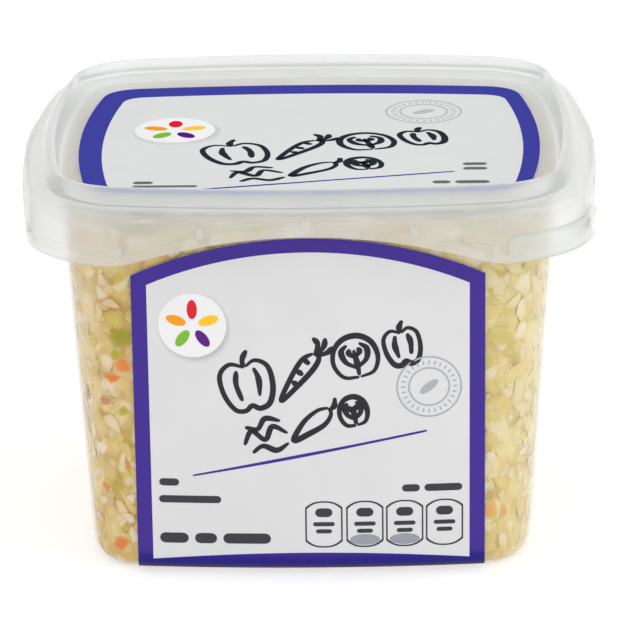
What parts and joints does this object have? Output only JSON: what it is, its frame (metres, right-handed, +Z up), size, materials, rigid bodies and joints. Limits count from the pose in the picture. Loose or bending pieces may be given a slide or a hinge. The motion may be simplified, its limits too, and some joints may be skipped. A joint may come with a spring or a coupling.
{
  "type": "tub of pepper slaw",
  "caption": "Clear rounded-square deli tub of chopped pepper slaw with a press-on lid and printed film labels on the front and on the lid.",
  "frame": {"origin": "centre of the tub's flat base, on the surface it stands on", "axes": "+Z up through the lid, -Y out of the front label, +X to the label's right as it is read"},
  "size_m": [0.105, 0.105, 0.0739],
  "materials": {
    "clear_plastic": "thin clear moulded plastic, glossy, faintly milky at its edges",
    "frosted_plastic": "translucent moulded plastic, softly frosted, with a satin gloss",
    "chopped_slaw": "moist chopped cabbage in a thin dressing, cream to pale yellow, with bits of pepper and carrot",
    "label_film": "printed film, satin, off-white with a violet border",
    "lid_label_film": "printed film, satin, off-white with a blue-violet border"
  },
  "bodies": {
    "root": {"tub": "clear_plastic", "lid": "frosted_plastic", "slaw": "chopped_slaw", "label_front": "label_film", "label_lid": "lid_label_film"}
  },
  "joints": []
}
